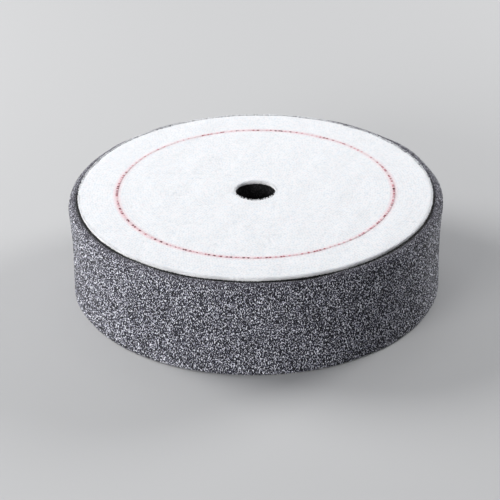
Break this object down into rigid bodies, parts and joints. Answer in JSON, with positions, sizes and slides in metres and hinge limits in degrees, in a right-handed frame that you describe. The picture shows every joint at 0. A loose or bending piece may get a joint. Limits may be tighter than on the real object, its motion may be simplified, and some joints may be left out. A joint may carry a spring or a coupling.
{
  "type": "polishing pad",
  "caption": "Thick round foam polishing pad with a centre hole, a loop fabric back for a hook-faced backing plate and a thin centring ring printed on the loops.",
  "frame": {"origin": "centre of the flat foam working face, which the pad lies on", "axes": "+Z along the pad's axis, from the working face up to the loops and the machine"},
  "size_m": [0.18, 0.18, 0.049],
  "materials": {
    "foam": "matt open-cell urethane foam, charcoal grey, cut cells about a millimetre across",
    "adhesive": "thin translucent hot-melt film",
    "ground_cloth": "warp-knitted nylon ground cloth",
    "loop_pile": "brushed white nylon loops, matt and slightly fuzzy",
    "ring_ink": "red ink soaked into the loops, thin and broken"
  },
  "bodies": {
    "root": {"foam_body": "foam", "glue_film": "adhesive", "backing_cloth": "ground_cloth", "loop_pile": "loop_pile", "guide_ring": "ring_ink"}
  },
  "joints": []
}
